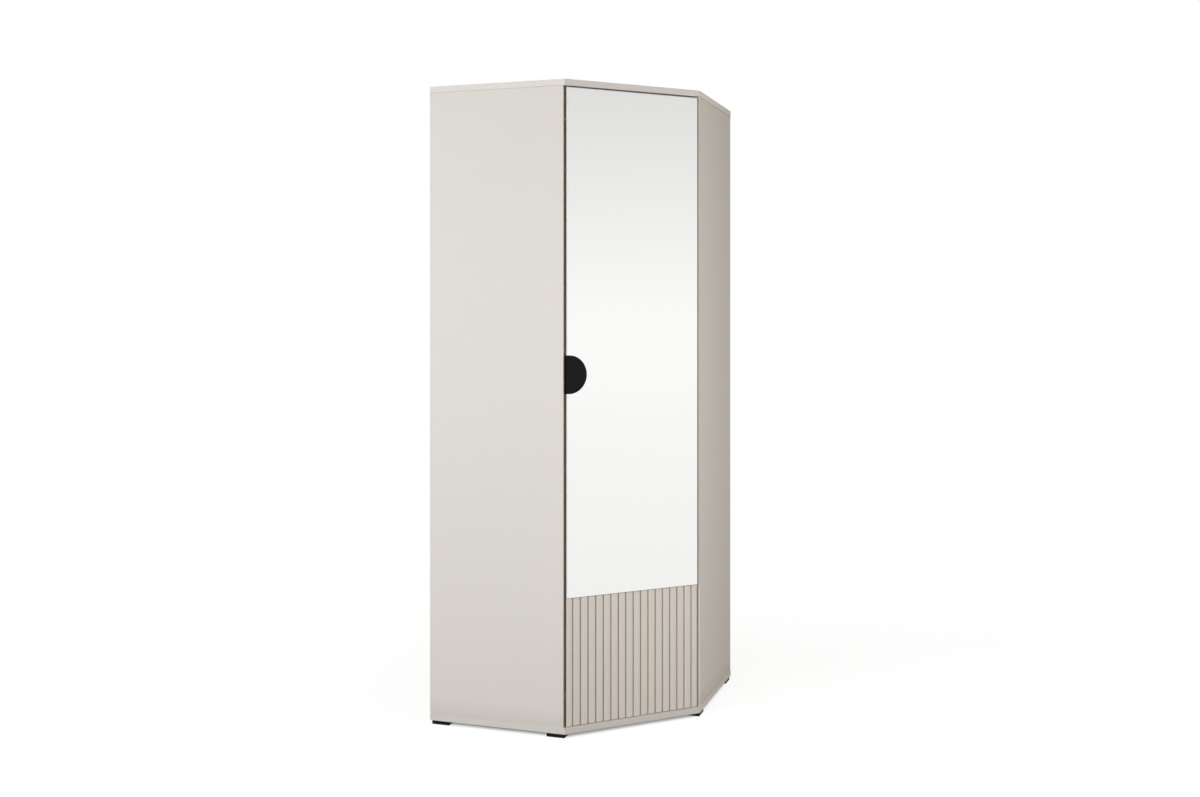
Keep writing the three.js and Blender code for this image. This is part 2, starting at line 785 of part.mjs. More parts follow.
// A rounded oblong about the origin
function oblong(halfWidth, halfHeight, corner) {
  const x = halfWidth - corner;
  const y = halfHeight - corner;
  const shape = new THREE.Shape();
  shape.absarc(x, y, corner, 0, Math.PI / 2, false);
  shape.absarc(-x, y, corner, Math.PI / 2, Math.PI, false);
  shape.absarc(-x, -y, corner, Math.PI, Math.PI * 3 / 2, false);
  shape.absarc(x, -y, corner, Math.PI * 3 / 2, Math.PI * 2, false);
  return shape;
}

// The cup: a drawn steel pot with a screw flange, notched where the link swings out, built
// round its own axis before it is laid into the door's back
const flangeCornerSegments = 3;

function hingeCup(z) {
  const inner = cupRadius - cupWall;
  const top = seatGap + flangeThick;
  const pot = rod(cupRadius, -cupDepth, top, cupSides);
  const rim = rod(flangeRadius, seatGap, top, cupSides);
  const plate = oblong(flangeHalfWidth, flangeHalfHeight, flangeCorner);
  const flange = slabOfShape(plate, seatGap, top, 0, flangeCornerSegments);
  const hollow = rod(inner, -cupDepth + cupWall, top + overrun, cupSides);
  const notch = boxBetween(
    [0, -cheekOuter, top - cupNotchDepth], [flangeRadius + overrun, cheekOuter, top + overrun],
  );
  const body = cut(fused([pot, rim, flange]), [hollow, notch]);
  const pivotX = cupPivot[0] - cupCentre;
  const reach = Math.sqrt(inner ** 2 - pivotX ** 2) + cupWall / 2;
  const pin = aimed(rod(hingePinRadius, -reach, reach), [0, 1, 0], [pivotX, 0, -cupPivotDepth]);
  const screws = [-1, 1].map((end) => {
    return screw(cupScrewBite + top).translate(0, end * cupScrewSpacing, top);
  });
  const cup = fused([body, pin, ...screws]);
  return cup.rotateX(-Math.PI / 2).translate(cupCentre, doorBack, z);
}

function buildHinges() {
  hingeHeights().forEach((z, i) => {
    addPiece(`hinge_cup_${i + 1}`, hingeCup(z), zinc, front);
    addPiece(`hinge_link_${i + 1}`, hingeLink(z), zinc, front);
    addPiece(`hinge_arm_${i + 1}`, hingeArm(z), zinc, front);
    addPiece(`hinge_plate_${i + 1}`, hingePlate(z), zinc);
  });
}

buildDecks();
buildStandingBoards();
buildShelfAndRail();
buildDoor();
buildHandle();
buildPads();
buildHinges();

export default wardrobe;
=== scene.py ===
import math

import bmesh
import bpy
from mathutils import Matrix, Vector


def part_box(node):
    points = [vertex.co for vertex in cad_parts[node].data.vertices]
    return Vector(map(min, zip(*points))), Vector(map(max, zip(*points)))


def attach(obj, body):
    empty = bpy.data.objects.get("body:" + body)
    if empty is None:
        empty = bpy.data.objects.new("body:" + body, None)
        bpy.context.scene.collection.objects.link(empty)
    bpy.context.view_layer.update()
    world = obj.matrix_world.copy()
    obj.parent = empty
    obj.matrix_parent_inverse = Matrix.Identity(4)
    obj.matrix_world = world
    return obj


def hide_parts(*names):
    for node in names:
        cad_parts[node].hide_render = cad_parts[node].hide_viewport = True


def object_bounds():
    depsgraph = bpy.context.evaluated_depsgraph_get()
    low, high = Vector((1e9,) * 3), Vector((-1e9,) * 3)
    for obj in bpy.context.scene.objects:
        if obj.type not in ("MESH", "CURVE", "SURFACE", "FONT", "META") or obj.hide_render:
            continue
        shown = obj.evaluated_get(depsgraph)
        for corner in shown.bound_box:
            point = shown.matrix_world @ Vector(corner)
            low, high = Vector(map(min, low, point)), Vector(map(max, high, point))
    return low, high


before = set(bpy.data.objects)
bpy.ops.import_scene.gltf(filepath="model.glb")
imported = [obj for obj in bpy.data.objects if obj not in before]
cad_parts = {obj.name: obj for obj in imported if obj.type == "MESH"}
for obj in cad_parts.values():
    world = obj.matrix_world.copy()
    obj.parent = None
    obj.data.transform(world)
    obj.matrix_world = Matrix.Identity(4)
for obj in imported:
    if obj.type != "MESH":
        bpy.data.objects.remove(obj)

cad_low, cad_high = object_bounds()
bpy.ops.object.select_all(action="DESELECT")


# The feet are low blocks of black plastic, one under each corner of the plan.
# Each is moulded in one piece with a fine matt grain, and is nailed up into the bottom panel.

FEET = (
    "foot_back_left", "foot_left_corner", "foot_right_corner", "foot_back_right", "foot_back_corner",
)
FOOT_BLACK = (13, 13, 13)


def linear(red, green, blue):
    """A screen colour from 0 to 255 as the linear colour that a shader takes."""
    shares = [c / 255 for c in (red, green, blue)]
    return [s / 12.92 if s < 0.04045 else ((s + 0.055) / 1.055) ** 2.4 for s in shares] + [1.0]


def add_node(tree, kind, links=None, **settings):
    """A node with its settings. links maps each input to a value or to the socket that feeds it."""
    node = tree.nodes.new(kind)
    for key, value in settings.items():
        setattr(node, key, value)
    for key, value in (links or {}).items():
        if isinstance(value, bpy.types.NodeSocket):
            tree.links.new(value, node.inputs[key])
        else:
            node.inputs[key].default_value = value
    return node


def calculate(tree, operation, *values, **settings):
    """What a Math node makes of some values or sockets."""
    node = add_node(tree, "ShaderNodeMath", dict(enumerate(values)), operation=operation, **settings)
    return node.outputs[0]


def noise(tree, place, scale, detail, roughness=0.5, distortion=0.0):
    """A soft random pattern from 0 to 1."""
    node = add_node(tree, "ShaderNodeTexNoise", {
        "Vector": place, "Scale": scale, "Detail": detail, "Roughness": roughness,
        "Distortion": distortion,
    })
    return node.outputs["Fac"]


def new_group(name, inputs, outputs):
    """An empty shader group. inputs maps each name to its kind and first value."""
    group = bpy.data.node_groups.new(name, "ShaderNodeTree")
    for key, (kind, value) in inputs.items():
        socket = group.interface.new_socket(key, in_out="INPUT", socket_type=kind)
        socket.default_value = value
    for key, kind in outputs.items():
        group.interface.new_socket(key, in_out="OUTPUT", socket_type=kind)
    return group, group.nodes.new("NodeGroupInput").outputs, group.nodes.new("NodeGroupOutput").inputs


def drifting_tone():
    """Broad soft changes of tone and sheen with a fine grain, as any made surface has."""
    group, given, made = new_group(
        "drifting_tone",
        {
            "Color": ("NodeSocketColor", (0.5, 0.5, 0.5, 1)),
            "Tone": ("NodeSocketFloat", 0.03),
            "Broad Scale": ("NodeSocketFloat", 3.0),
            "Grain Scale": ("NodeSocketFloat", 900.0),
            "Roughness": ("NodeSocketFloat", 0.5),
            "Sheen Drift": ("NodeSocketFloat", 0.05),
        },
        {"Color": "NodeSocketColor", "Roughness": "NodeSocketFloat", "Grain": "NodeSocketFloat"},
    )
    place = add_node(group, "ShaderNodeTexCoord").outputs["Object"]
    broad = noise(group, place, given["Broad Scale"], detail=4.0, roughness=0.6)
    grain = noise(group, place, given["Grain Scale"], detail=3.0, roughness=0.55)
    mixed = calculate(group, "ADD", broad, grain)
    centred = calculate(group, "SUBTRACT", mixed, 1.0)
    shift = calculate(group, "MULTIPLY_ADD", centred, given["Tone"], 1.0)
    colour = add_node(group, "ShaderNodeVectorMath", {0: given["Color"], 3: shift}, operation="SCALE")
    sheen = calculate(
        group, "MULTIPLY_ADD", centred, given["Sheen Drift"], given["Roughness"], use_clamp=True,
    )
    group.links.new(colour.outputs[0], made["Color"])
    group.links.new(sheen, made["Roughness"])
    group.links.new(grain, made["Grain"])
    return group


TONE_GROUP = drifting_tone()


def finish_material(
    name, colour, roughness, bump, tone, broad=3.0, grain=900.0, drift=0.06,
    metallic=0.0, specular=0.5,
):
    """A material whose colour and sheen drift over the piece, with a fine grain in its bump."""
    material = bpy.data.materials.new(name)
    material.use_nodes = True
    tree = material.node_tree
    shader = tree.nodes["Principled BSDF"]
    surface = add_node(tree, "ShaderNodeGroup", {
        "Color": linear(*colour), "Tone": tone, "Broad Scale": broad,
        "Grain Scale": grain, "Roughness": roughness, "Sheen Drift": drift,
    }, node_tree=TONE_GROUP)
    relief = add_node(tree, "ShaderNodeBump", {
        "Strength": 1.0, "Distance": bump, "Height": surface.outputs["Grain"],
    })
    tree.links.new(surface.outputs["Color"], shader.inputs["Base Color"])
    tree.links.new(surface.outputs["Roughness"], shader.inputs["Roughness"])
    tree.links.new(relief.outputs["Normal"], shader.inputs["Normal"])
    shader.inputs["Metallic"].default_value = metallic
    shader.inputs["Specular IOR Level"].default_value = specular
    return material


def dress(names, material):
    """Puts a material on CAD nodes."""
    for name in names:
        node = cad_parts[name]
        node.data.materials.clear()
        node.data.materials.append(material)


dress(FEET, finish_material(
    "moulded_foot", FOOT_BLACK, roughness=0.62, bump=0.00004, tone=0.25, grain=1400.0, specular=0.15,
))


# The carcass is chipboard faced with melamine in a warm light grey, with tape on its exposed
# edges; the decks' taped edges carry painted light, lighter or darker by the way each faces.
# Cams and dowels join the boards. A fine joint under the top is deepened with painted shadow,
# the sides get painted shade near the floor, and their front ends painted shade behind the door.

BOARD_GREY = (206, 200, 193)
TAPE_THICK = 0.001
SEAM_WIDTH = 0.0002
SEAM_SHADE = (0.72, 0.69, 0.65, 1)
JOINT_SHADOW_WIDTH = 0.0015
FOOT_SHADE_HEIGHT = 0.055
FOOT_PAINTED_SHADE = (0.90, 0.89, 0.88, 1)
END_SHOWN = 0.0035
END_SOFT = 0.0015
END_PAINTED_SHADE = (0.56, 0.50, 0.44, 1)
EDGE_FACING = 0.9
UPWARD = Vector((0, 0, 1))
TO_LEFT = Vector((-1, 0, 0))
TO_RIGHT = Vector((0, -1, 0))
TO_FRONT = Vector((-1, -1, 0)).normalized()
TAPED_EDGES = {
    "top_panel": (TO_LEFT, TO_FRONT, TO_RIGHT),
    "bottom_panel": (TO_LEFT, TO_FRONT, TO_RIGHT),
    "left_side_panel": (TO_RIGHT,),
    "right_side_panel": (TO_LEFT,),
    "corner_post_left": (TO_LEFT,),
    "corner_post_right": (TO_RIGHT,),
    "hat_shelf": (TO_FRONT,),
}
# Painted light: each deck edge's colour is scaled by the way it faces, to the left, the front and the
# right.
PAINTED_EDGE_LIGHT = {
    "top_panel": (1.04, 0.92, 1.14),
    "bottom_panel": (0.94, 0.885, 1.03),
}
SIDE_ENDS = {
    "left_side_panel": (TO_RIGHT, TO_LEFT),
    "right_side_panel": (TO_LEFT, TO_RIGHT),
}


def distance_along(tree, vector, direction):
    """How far a place or a normal reaches along a direction."""
    node = add_node(tree, "ShaderNodeVectorMath", {0: vector, 1: direction}, operation="DOT_PRODUCT")
    return node.outputs["Value"]


def ramp(tree, value, start, end, low=0.0, high=1.0, **settings):
    """A level that goes from low to high while a value goes from start to end."""
    node = add_node(tree, "ShaderNodeMapRange", {
        "Value": value, "From Min": start, "From Max": end, "To Min": low, "To Max": high,
    }, **settings)
    return node.outputs["Result"]


def mix_colours(tree, mask, first, second, blend="MIX"):
    """The first colour, and the second mixed into it where a mask says."""
    node = add_node(
        tree, "ShaderNodeMix", {0: mask, 6: first, 7: second}, data_type="RGBA", blend_type=blend,
    )
    return node.outputs[2]


def line_group():
    """A line straight across a direction, which fades out over its width."""
    group, given, made = new_group(
        "line_across",
        {
            "Direction": ("NodeSocketVector", (1, 0, 0)),
            "Distance": ("NodeSocketFloat", 0.0),
            "Width": ("NodeSocketFloat", SEAM_WIDTH),
        },
        {"Line": "NodeSocketFloat"},
    )
    place = add_node(group, "ShaderNodeTexCoord").outputs["Object"]
    along = distance_along(group, place, given["Direction"])
    off = calculate(group, "SUBTRACT", along, given["Distance"])
    apart = calculate(group, "ABSOLUTE", off)
    group.links.new(ramp(group, apart, 0.0, given["Width"], 1.0, 0.0), made["Line"])
    return group


LINE_GROUP = line_group()


def line_across(tree, direction, distance, width=SEAM_WIDTH):
    """The mask of a line at a distance along a direction, such as where a tape begins."""
    node = add_node(tree, "ShaderNodeGroup", {
        "Direction": direction, "Distance": distance, "Width": width,
    }, node_tree=LINE_GROUP)
    return node.outputs["Line"]


def facing_mask(tree, direction, least=EDGE_FACING):
    """1 where the surface faces a direction, and 0 elsewhere."""
    normal = add_node(tree, "ShaderNodeTexCoord").outputs["Normal"]
    return calculate(tree, "GREATER_THAN", distance_along(tree, normal, direction), least)


def tint(material, mask, shade, blend="MULTIPLY"):
    """Mixes a shade into a material's colour where a mask says."""
    tree = material.node_tree
    base = tree.nodes["Principled BSDF"].inputs["Base Color"]
    tree.links.new(mix_colours(tree, mask, base.links[0].from_socket, shade, blend), base)


def reach_of(name, direction):
    """How far a node reaches along a direction."""
    return max(vertex.co.dot(direction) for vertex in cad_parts[name].data.vertices)


def paint_end_shade(material, name, facing, outward):
    """Paints shade on the part of a side panel's front end that lies behind the door's edge, as painted
    shadow in the slot.
    """
    tree = material.node_tree
    shown = reach_of(name, outward) - END_SHOWN
    place = add_node(tree, "ShaderNodeTexCoord").outputs["Object"]
    inner = ramp(tree, distance_along(tree, place, outward), shown - END_SOFT, shown, 1.0, 0.0)
    tint(material, calculate(tree, "MULTIPLY", facing_mask(tree, facing), inner), END_PAINTED_SHADE)


for name, edges in TAPED_EDGES.items():
    board = finish_material(
        f"melamine_{name}", BOARD_GREY, roughness=0.55, bump=0.00001, tone=0.02, broad=1.6,
        grain=1600.0, specular=0.25,
    )
    tree = board.node_tree
    for direction in edges:
        seam = line_across(tree, direction, reach_of(name, direction) - TAPE_THICK)
        tint(board, seam, SEAM_SHADE)
    if name in SIDE_ENDS:
        paint_end_shade(board, name, *SIDE_ENDS[name])
        # A dark joint line under the top, deepened with painted shadow of the top's overhang.
        tint(board, line_across(tree, UPWARD, reach_of(name, UPWARD), JOINT_SHADOW_WIDTH), SEAM_SHADE)
        # Painted shade: the sides darken towards the floor within their lowest 55 mm.
        tint(board, line_across(tree, -UPWARD, reach_of(name, -UPWARD), FOOT_SHADE_HEIGHT), FOOT_PAINTED_SHADE)
    # Painted light: the decks' edges are made lighter or darker by the way each faces.
    for direction, tone in zip(edges, PAINTED_EDGE_LIGHT.get(name, ())):
        tint(board, facing_mask(tree, direction), (tone, tone, tone, 1))
    dress([name], board)


# Cam locks are small drums of die-cast zinc let into the boards' inner faces.
# Each has a raised rim, a cross for the screwdriver and a notch that shows which way it is turned.

ZINC_GREY = (186, 187, 190)
CAM_RADIUS = 0.0075
CAM_DEPTH = 0.0122
CAM_RIM = 0.0009
CAM_SINK = 0.0004
CAM_CROSS = (0.0076, 0.0013, 0.0022)
CAM_NOTCH = (0.0021, 0.0012, 0.0012)
CAM_FACES = {
    "left_side": Vector((1, 0, 0)), "right_side": Vector((0, 1, 0)),
    "left_post": Vector((0, -1, 0)), "right_post": Vector((-1, 0, 0)),
}
ROUND_SIDES = 48
FLAT_FACING = 0.9
SLOT_TAPER = 0.7
SMOOTH_ANGLE = math.radians(35)
SCREW_TURN = 0.7


def pick_faces(piece, way):
    """Selects only a piece's flat top, way 1, or its flat underside, way -1, in edit mode."""
    bpy.ops.mesh.select_mode(type="FACE")
    shape = bmesh.from_edit_mesh(piece.data)
    for face in shape.faces:
        face.select_set(face.normal.z * way > FLAT_FACING)
    bmesh.update_edit_mesh(piece.data)


def apply_modifier(piece, kind, **settings):
    """Adds a modifier to a piece and applies it."""
    bpy.context.view_layer.objects.active = piece
    modifier = piece.modifiers.new(kind.lower(), kind)
    for key, value in settings.items():
        setattr(modifier, key, value)
    bpy.ops.object.modifier_apply(modifier=modifier.name)


def cut_bar(piece, centre, size, turn=0.0):
    """Cuts a tapered slot of a length, width and depth into a piece, down from its centre."""
    length, width, depth = size
    bpy.ops.object.select_all(action="DESELECT")
    bpy.ops.mesh.primitive_cube_add(
        size=1, location=centre, rotation=(0, 0, turn), scale=(length, width, 2 * depth),
    )
    bar = bpy.context.active_object
    bpy.ops.object.mode_set(mode="EDIT")
    pick_faces(bar, -1)
    bpy.ops.transform.resize(value=(SLOT_TAPER, SLOT_TAPER, 1))
    bpy.ops.object.mode_set(mode="OBJECT")
    apply_modifier(piece, "BOOLEAN", operation="DIFFERENCE", object=bar, solver="EXACT")
    bpy.data.objects.remove(bar)


def cut_cross(piece, height, size):
    """Cuts two crossing slots into a piece for the screwdriver, down from a height."""
    for turn in (0, math.pi / 2):
        cut_bar(piece, (0, 0, height), size, turn)


def smooth(piece):
    """Shades a piece smoothly, apart from its sharp edges."""
    bpy.ops.object.select_all(action="DESELECT")
    piece.select_set(True)
    bpy.context.view_layer.objects.active = piece
    bpy.ops.object.shade_smooth_by_angle(angle=SMOOTH_ANGLE)
    piece.select_set(False)


def stand(piece, name, spot, direction, spin=0.0):
    """A copy of a piece built along +Z, with its own mesh, turned along a direction and set at a spot."""
    turn = UPWARD.rotation_difference(Vector(direction)).to_matrix().to_4x4()
    copy = bpy.data.objects.new(name, piece.data.copy())
    copy.data.transform(Matrix.Translation(spot) @ turn @ Matrix.Rotation(spin, 4, "Z"))
    bpy.context.scene.collection.objects.link(copy)
    return copy


def face_spot(name, direction):
    """The middle of a node's face on one side."""
    low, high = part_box(name)
    size = high - low
    reach = sum(abs(a * b) for a, b in zip(size, direction)) / 2
    return (low + high) / 2 + direction * reach


def cam_lock():
    """A drum whose face is at height 0, with its rim, cross and notch."""
    bpy.ops.mesh.primitive_cylinder_add(
        vertices=ROUND_SIDES, radius=CAM_RADIUS, depth=CAM_DEPTH, location=(0, 0, -CAM_DEPTH / 2),
    )
    cam = bpy.context.active_object
    bpy.ops.object.transform_apply()
    bpy.ops.object.mode_set(mode="EDIT")
    pick_faces(cam, 1)
    bpy.ops.mesh.bevel(offset=CAM_SINK, segments=2, affect="EDGES")
    pick_faces(cam, 1)
    bpy.ops.mesh.inset(thickness=CAM_RIM)
    bpy.ops.mesh.extrude_region_move(TRANSFORM_OT_translate={"value": (0, 0, -CAM_SINK)})
    bpy.ops.object.mode_set(mode="OBJECT")
    cut_cross(cam, -CAM_SINK, CAM_CROSS)
    cut_bar(cam, (CAM_RADIUS - CAM_NOTCH[0], 0, -CAM_SINK), CAM_NOTCH)
    smooth(cam)
    return cam


zinc_material = finish_material(
    "die_cast_zinc", ZINC_GREY, roughness=0.42, bump=0.00003, tone=0.12, broad=60.0, grain=1500.0,
    drift=0.14, metallic=1.0,
)
cam_master = cam_lock()
cam_master.data.materials.append(zinc_material)
for kind, direction in CAM_FACES.items():
    names = sorted(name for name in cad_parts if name.startswith(f"cam_lock_{kind}"))
    for i, name in enumerate(names):
        spot = face_spot(name, direction)
        cam = stand(cam_master, f"cam_drum_{kind}_{i + 1}", spot, direction, SCREW_TURN * (i + 1))
        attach(cam, "cabinet")
        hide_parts(name)
bpy.data.objects.remove(cam_master)


# The two back sheets are 3 mm hardboard, pinned to the boards' back edges with flat-headed nails.
# Their outer faces are raw brown fibre, and their inner faces carry a pale print.

SHEET_PRINT = (210, 205, 198)
SHEET_RAW = (146, 112, 79)
SHEET_ARRIS = 0.0003
FIBRE_SCALE = 260.0
FLECK_SCALE = 48.0
CLOUD_SCALE = 5.0
FLECK_SHARE = 0.55
CLOUD_SHARE = 0.25
DARK_FROM = 0.65
PALE_FROM = 1.15
DARK_LEVEL = 0.84
PALE_LEVEL = 1.16
NAIL_GREY = (170, 168, 164)
NAIL_RADIUS = 0.0022
NAIL_PROUD = 0.0004
NAIL_ROUND = 0.00032
NAIL_INSET = 0.008
NAIL_STEP = 0.12
NAIL_SIDES = 14
SHEETS = {"left": Vector((0, 1, 0)), "right": Vector((1, 0, 0))}


def raw_back(material, direction, distance):
    """Turns a sheet's outer face to raw brown board, mottled with long pale and dark fibres."""
    tree = material.node_tree
    place = add_node(tree, "ShaderNodeTexCoord").outputs["Object"]
    outer = calculate(tree, "GREATER_THAN", distance_along(tree, place, direction), distance)
    fibres = noise(tree, place, FIBRE_SCALE, detail=6.0, roughness=0.7, distortion=1.2)
    clouds = noise(tree, place, CLOUD_SCALE, detail=3.0)
    flecks = noise(tree, place, FLECK_SCALE, detail=2.0)
    tones = calculate(tree, "MULTIPLY_ADD", clouds, CLOUD_SHARE, fibres)
    mottled = calculate(tree, "MULTIPLY_ADD", flecks, FLECK_SHARE, tones)
    level = ramp(tree, mottled, DARK_FROM, PALE_FROM, DARK_LEVEL, PALE_LEVEL)
    brown = add_node(
        tree, "ShaderNodeVectorMath", {0: linear(*SHEET_RAW)[:3], 3: level}, operation="SCALE",
    )
    tint(material, outer, brown.outputs[0], blend="MIX")


def back_sheet(side, direction):
    """The sheet over its CAD place, a nail head's height thinner on the outside."""
    low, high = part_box(f"back_sheet_{side}")
    outer = high - direction * NAIL_PROUD
    bpy.ops.object.select_all(action="DESELECT")
    bpy.ops.mesh.primitive_cube_add(size=1, location=(low + outer) / 2, scale=outer - low)
    sheet = bpy.context.active_object
    sheet.name = f"hardboard_back_{side}"
    bpy.ops.object.transform_apply()
    apply_modifier(sheet, "BEVEL", width=SHEET_ARRIS, segments=2)
    material = finish_material(
        f"hardboard_{side}", SHEET_PRINT, roughness=0.68, bump=0.00004, tone=0.05, grain=700.0,
    )
    raw_back(material, direction, outer.dot(direction) - SHEET_ARRIS)
    sheet.data.materials.append(material)
    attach(sheet, "cabinet")
    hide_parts(f"back_sheet_{side}")
    return low, outer


def nail_head():
    """A low round head with an eased rim, whose lower half is in the sheet."""
    bpy.ops.mesh.primitive_cylinder_add(
        vertices=NAIL_SIDES, radius=NAIL_RADIUS, depth=2 * NAIL_PROUD, location=(0, 0, 0),
    )
    nail = bpy.context.active_object
    bpy.ops.object.mode_set(mode="EDIT")
    pick_faces(nail, 1)
    bpy.ops.mesh.bevel(offset=NAIL_ROUND, segments=2, affect="EDGES")
    bpy.ops.object.mode_set(mode="OBJECT")
    smooth(nail)
    return nail


def evenly(start, end):
    """Places from one end to the other, about a nail's step apart."""
    count = round((end - start) / NAIL_STEP)
    return [start + (end - start) * i / count for i in range(count + 1)]


nail_material = finish_material(
    "bright_nail", NAIL_GREY, roughness=0.38, bump=0.00002, tone=0.15, broad=30.0, grain=1200.0,
    drift=0.15, metallic=1.0,
)
nail_master = nail_head()
nail_master.data.materials.append(nail_material)
shelf_low, shelf_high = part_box("hat_shelf")
shelf_line = (shelf_low.z + shelf_high.z) / 2
for side, direction in SHEETS.items():
    low, outer = back_sheet(side, direction)
    across = Vector((direction.y, direction.x, 0))
    start, end = low.dot(across) + NAIL_INSET, outer.dot(across) - NAIL_INSET
    foot, head = low.z + NAIL_INSET, outer.z - NAIL_INSET
    places = [(along, z) for z in (foot, shelf_line, head) for along in evenly(start, end)]
    places += [(along, z) for along in (start, end) for z in evenly(foot, head)[1:-1]]
    nails = []
    for along, z in places:
        spot = across * along + direction * outer.dot(direction) + Vector((0, 0, z))
        nails.append(stand(nail_master, f"back_nails_{side}", spot, direction))
    bpy.ops.object.select_all(action="DESELECT")
    for nail in nails:
        nail.select_set(True)
    bpy.context.view_layer.objects.active = nails[0]
    bpy.ops.object.join()
    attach(nails[0], "cabinet")
bpy.data.objects.remove(nail_master)


# Six stepped pins of plated steel carry the hat shelf, three at each side.
# The plating is a little uneven, so its sheen drifts over each pin.

PLATE_GREY = (196, 197, 199)

plated_material = finish_material(
    "plated_steel", PLATE_GREY, roughness=0.3, bump=0.00002, tone=0.1, broad=40.0, grain=900.0,
    drift=0.12, metallic=1.0,
)
dress([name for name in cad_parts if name.startswith("shelf_pin")], plated_material)


# The hanging rail is an oval steel tube, chromed and polished.
# Two stamped hangers ring it near its ends, each held up into the shelf by two screws.

CHROME = (222, 223, 226)
RAIL_SIDES = 48
RAIL_WALL = 0.0012
MIDDLE_BAND = 0.0001
ALONG_FRONT = Vector((1, -1, 0)).normalized()
HANGER_SCREW_SPACING = 0.015
HANGER_SCREW_RISE = 0.013
SCREW_RADIUS = 0.0039
SCREW_HEIGHT = 0.0018
SCREW_DOME = 0.0012
SCREW_CROSS = (0.0048, 0.0009, 0.0011)


def front_box(name):
    """A node's reach along the front, into the cabinet and upwards, as lowest and highest values."""
    axes = (ALONG_FRONT, -TO_FRONT, UPWARD)
    spots = [[vertex.co.dot(axis) for axis in axes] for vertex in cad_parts[name].data.vertices]
    return [min(column) for column in zip(*spots)], [max(column) for column in zip(*spots)]


def front_spot(along, inward, height):
    """The point at a place along the front, into the cabinet and upwards."""
    return ALONG_FRONT * along - TO_FRONT * inward + Vector((0, 0, height))


def oval_rail():
    """A round tube whose two halves are moved apart, open at both ends, in the CAD rail's place."""
    low, high = front_box("hanging_rail")
    width, tall = high[1] - low[1], high[2] - low[2]
    straight = (tall - width) / 2
    bpy.ops.object.select_all(action="DESELECT")
    bpy.ops.mesh.primitive_cylinder_add(
        vertices=RAIL_SIDES, radius=width / 2, depth=high[0] - low[0], end_fill_type="NOTHING",
        location=(0, 0, 0),
    )
    rail = bpy.context.active_object
    rail.name = "oval_rail"
    bpy.ops.object.mode_set(mode="EDIT")
    for way in (-1, 1):
        bpy.ops.mesh.select_mode(type="VERT")
        shape = bmesh.from_edit_mesh(rail.data)
        for vertex in shape.verts:
            vertex.select_set(vertex.co.y * way > MIDDLE_BAND)
        bmesh.update_edit_mesh(rail.data)
        bpy.ops.transform.translate(value=(0, way * straight, 0))
    bpy.ops.object.mode_set(mode="OBJECT")
    apply_modifier(rail, "SOLIDIFY", thickness=RAIL_WALL, offset=-1.0)
    smooth(rail)
    axes = Matrix((-TO_FRONT, UPWARD, ALONG_FRONT)).transposed().to_4x4()
    middle = front_spot(*[(a + b) / 2 for a, b in zip(low, high)])
    rail.data.transform(Matrix.Translation(middle) @ axes)
    return rail


def pan_head():
    """A domed screw head on a face at height 0, with a cross recess."""
    bpy.ops.object.select_all(action="DESELECT")
    bpy.ops.mesh.primitive_cylinder_add(
        vertices=ROUND_SIDES, radius=SCREW_RADIUS, depth=SCREW_HEIGHT, location=(0, 0, SCREW_HEIGHT / 2),
    )
    head = bpy.context.active_object
    bpy.ops.object.transform_apply()
    bpy.ops.object.mode_set(mode="EDIT")
    pick_faces(head, 1)
    bpy.ops.mesh.bevel(offset=SCREW_DOME, segments=5, affect="EDGES")
    bpy.ops.object.mode_set(mode="OBJECT")
    cut_cross(head, SCREW_HEIGHT, SCREW_CROSS)
    smooth(head)
    return head


rail = oval_rail()
rail.data.materials.append(finish_material(
    "chromed_tube", CHROME, roughness=0.1, bump=0.00001, tone=0.03, broad=12.0, grain=500.0,
    drift=0.08, metallic=1.0,
))
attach(rail, "cabinet")
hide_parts("hanging_rail")
head_master = pan_head()
head_master.data.materials.append(plated_material)
for side in ("left", "right"):
    name = f"rail_hanger_{side}"
    dress([name], plated_material)
    low, high = front_box(name)
    middle = [(a + b) / 2 for a, b in zip(low, high)]
    for place, end in (("front", -1), ("back", 1)):
        spot = front_spot(middle[0], middle[1] + end * HANGER_SCREW_SPACING, high[2] - HANGER_SCREW_RISE)
        head = stand(head_master, f"hanger_screw_{side}_{place}", spot, (0, 0, -1), SCREW_TURN * end)
        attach(head, "cabinet")


# The door is fibreboard wrapped in foil, in the carcass's tone, with upright flutes routed into
# its face below the mirror. Painted shade darkens and warms the flutes' floors and walls and the
# bevelled edges, and a painted shadow lies under the mirror's foot.

DOOR_GREY = (203, 197, 189)
FLUTE_PAINTED_SHADE = (0.84, 0.76, 0.655, 1)
PAINTED_SHADE_DEPTH = 0.0035
EDGE_BAND = 0.02
RIM_PAINTED_SHADE = (0.86, 0.83, 0.79, 1)
MIRROR_SHADOW_WIDTH = 0.004
MIRROR_FOOT_SHADOW = (0.50, 0.44, 0.36, 1)

door_low, door_high = front_box("door_panel")
door_middle = (door_low[0] + door_high[0]) / 2
rim_start = (door_high[0] - door_low[0]) / 2 - EDGE_BAND
door_material = finish_material(
    "wrapped_door", DOOR_GREY, roughness=0.5, bump=0.00001, tone=0.02, grain=1600.0, specular=0.25,
)
tree = door_material.node_tree
place = add_node(tree, "ShaderNodeTexCoord").outputs["Object"]
inward = distance_along(tree, place, -TO_FRONT)
depth_ramp = ramp(tree, inward, door_low[1], door_low[1] + PAINTED_SHADE_DEPTH)
before_back = calculate(tree, "LESS_THAN", inward, door_high[1] - PAINTED_SHADE_DEPTH)
behind_face = calculate(tree, "MULTIPLY", depth_ramp, before_back)
off_middle = calculate(tree, "SUBTRACT", distance_along(tree, place, ALONG_FRONT), door_middle)
sideways = calculate(tree, "ABSOLUTE", off_middle)
rims = calculate(tree, "MULTIPLY", behind_face, ramp(tree, sideways, rim_start, rim_start + PAINTED_SHADE_DEPTH))
flutes = calculate(tree, "SUBTRACT", behind_face, rims)
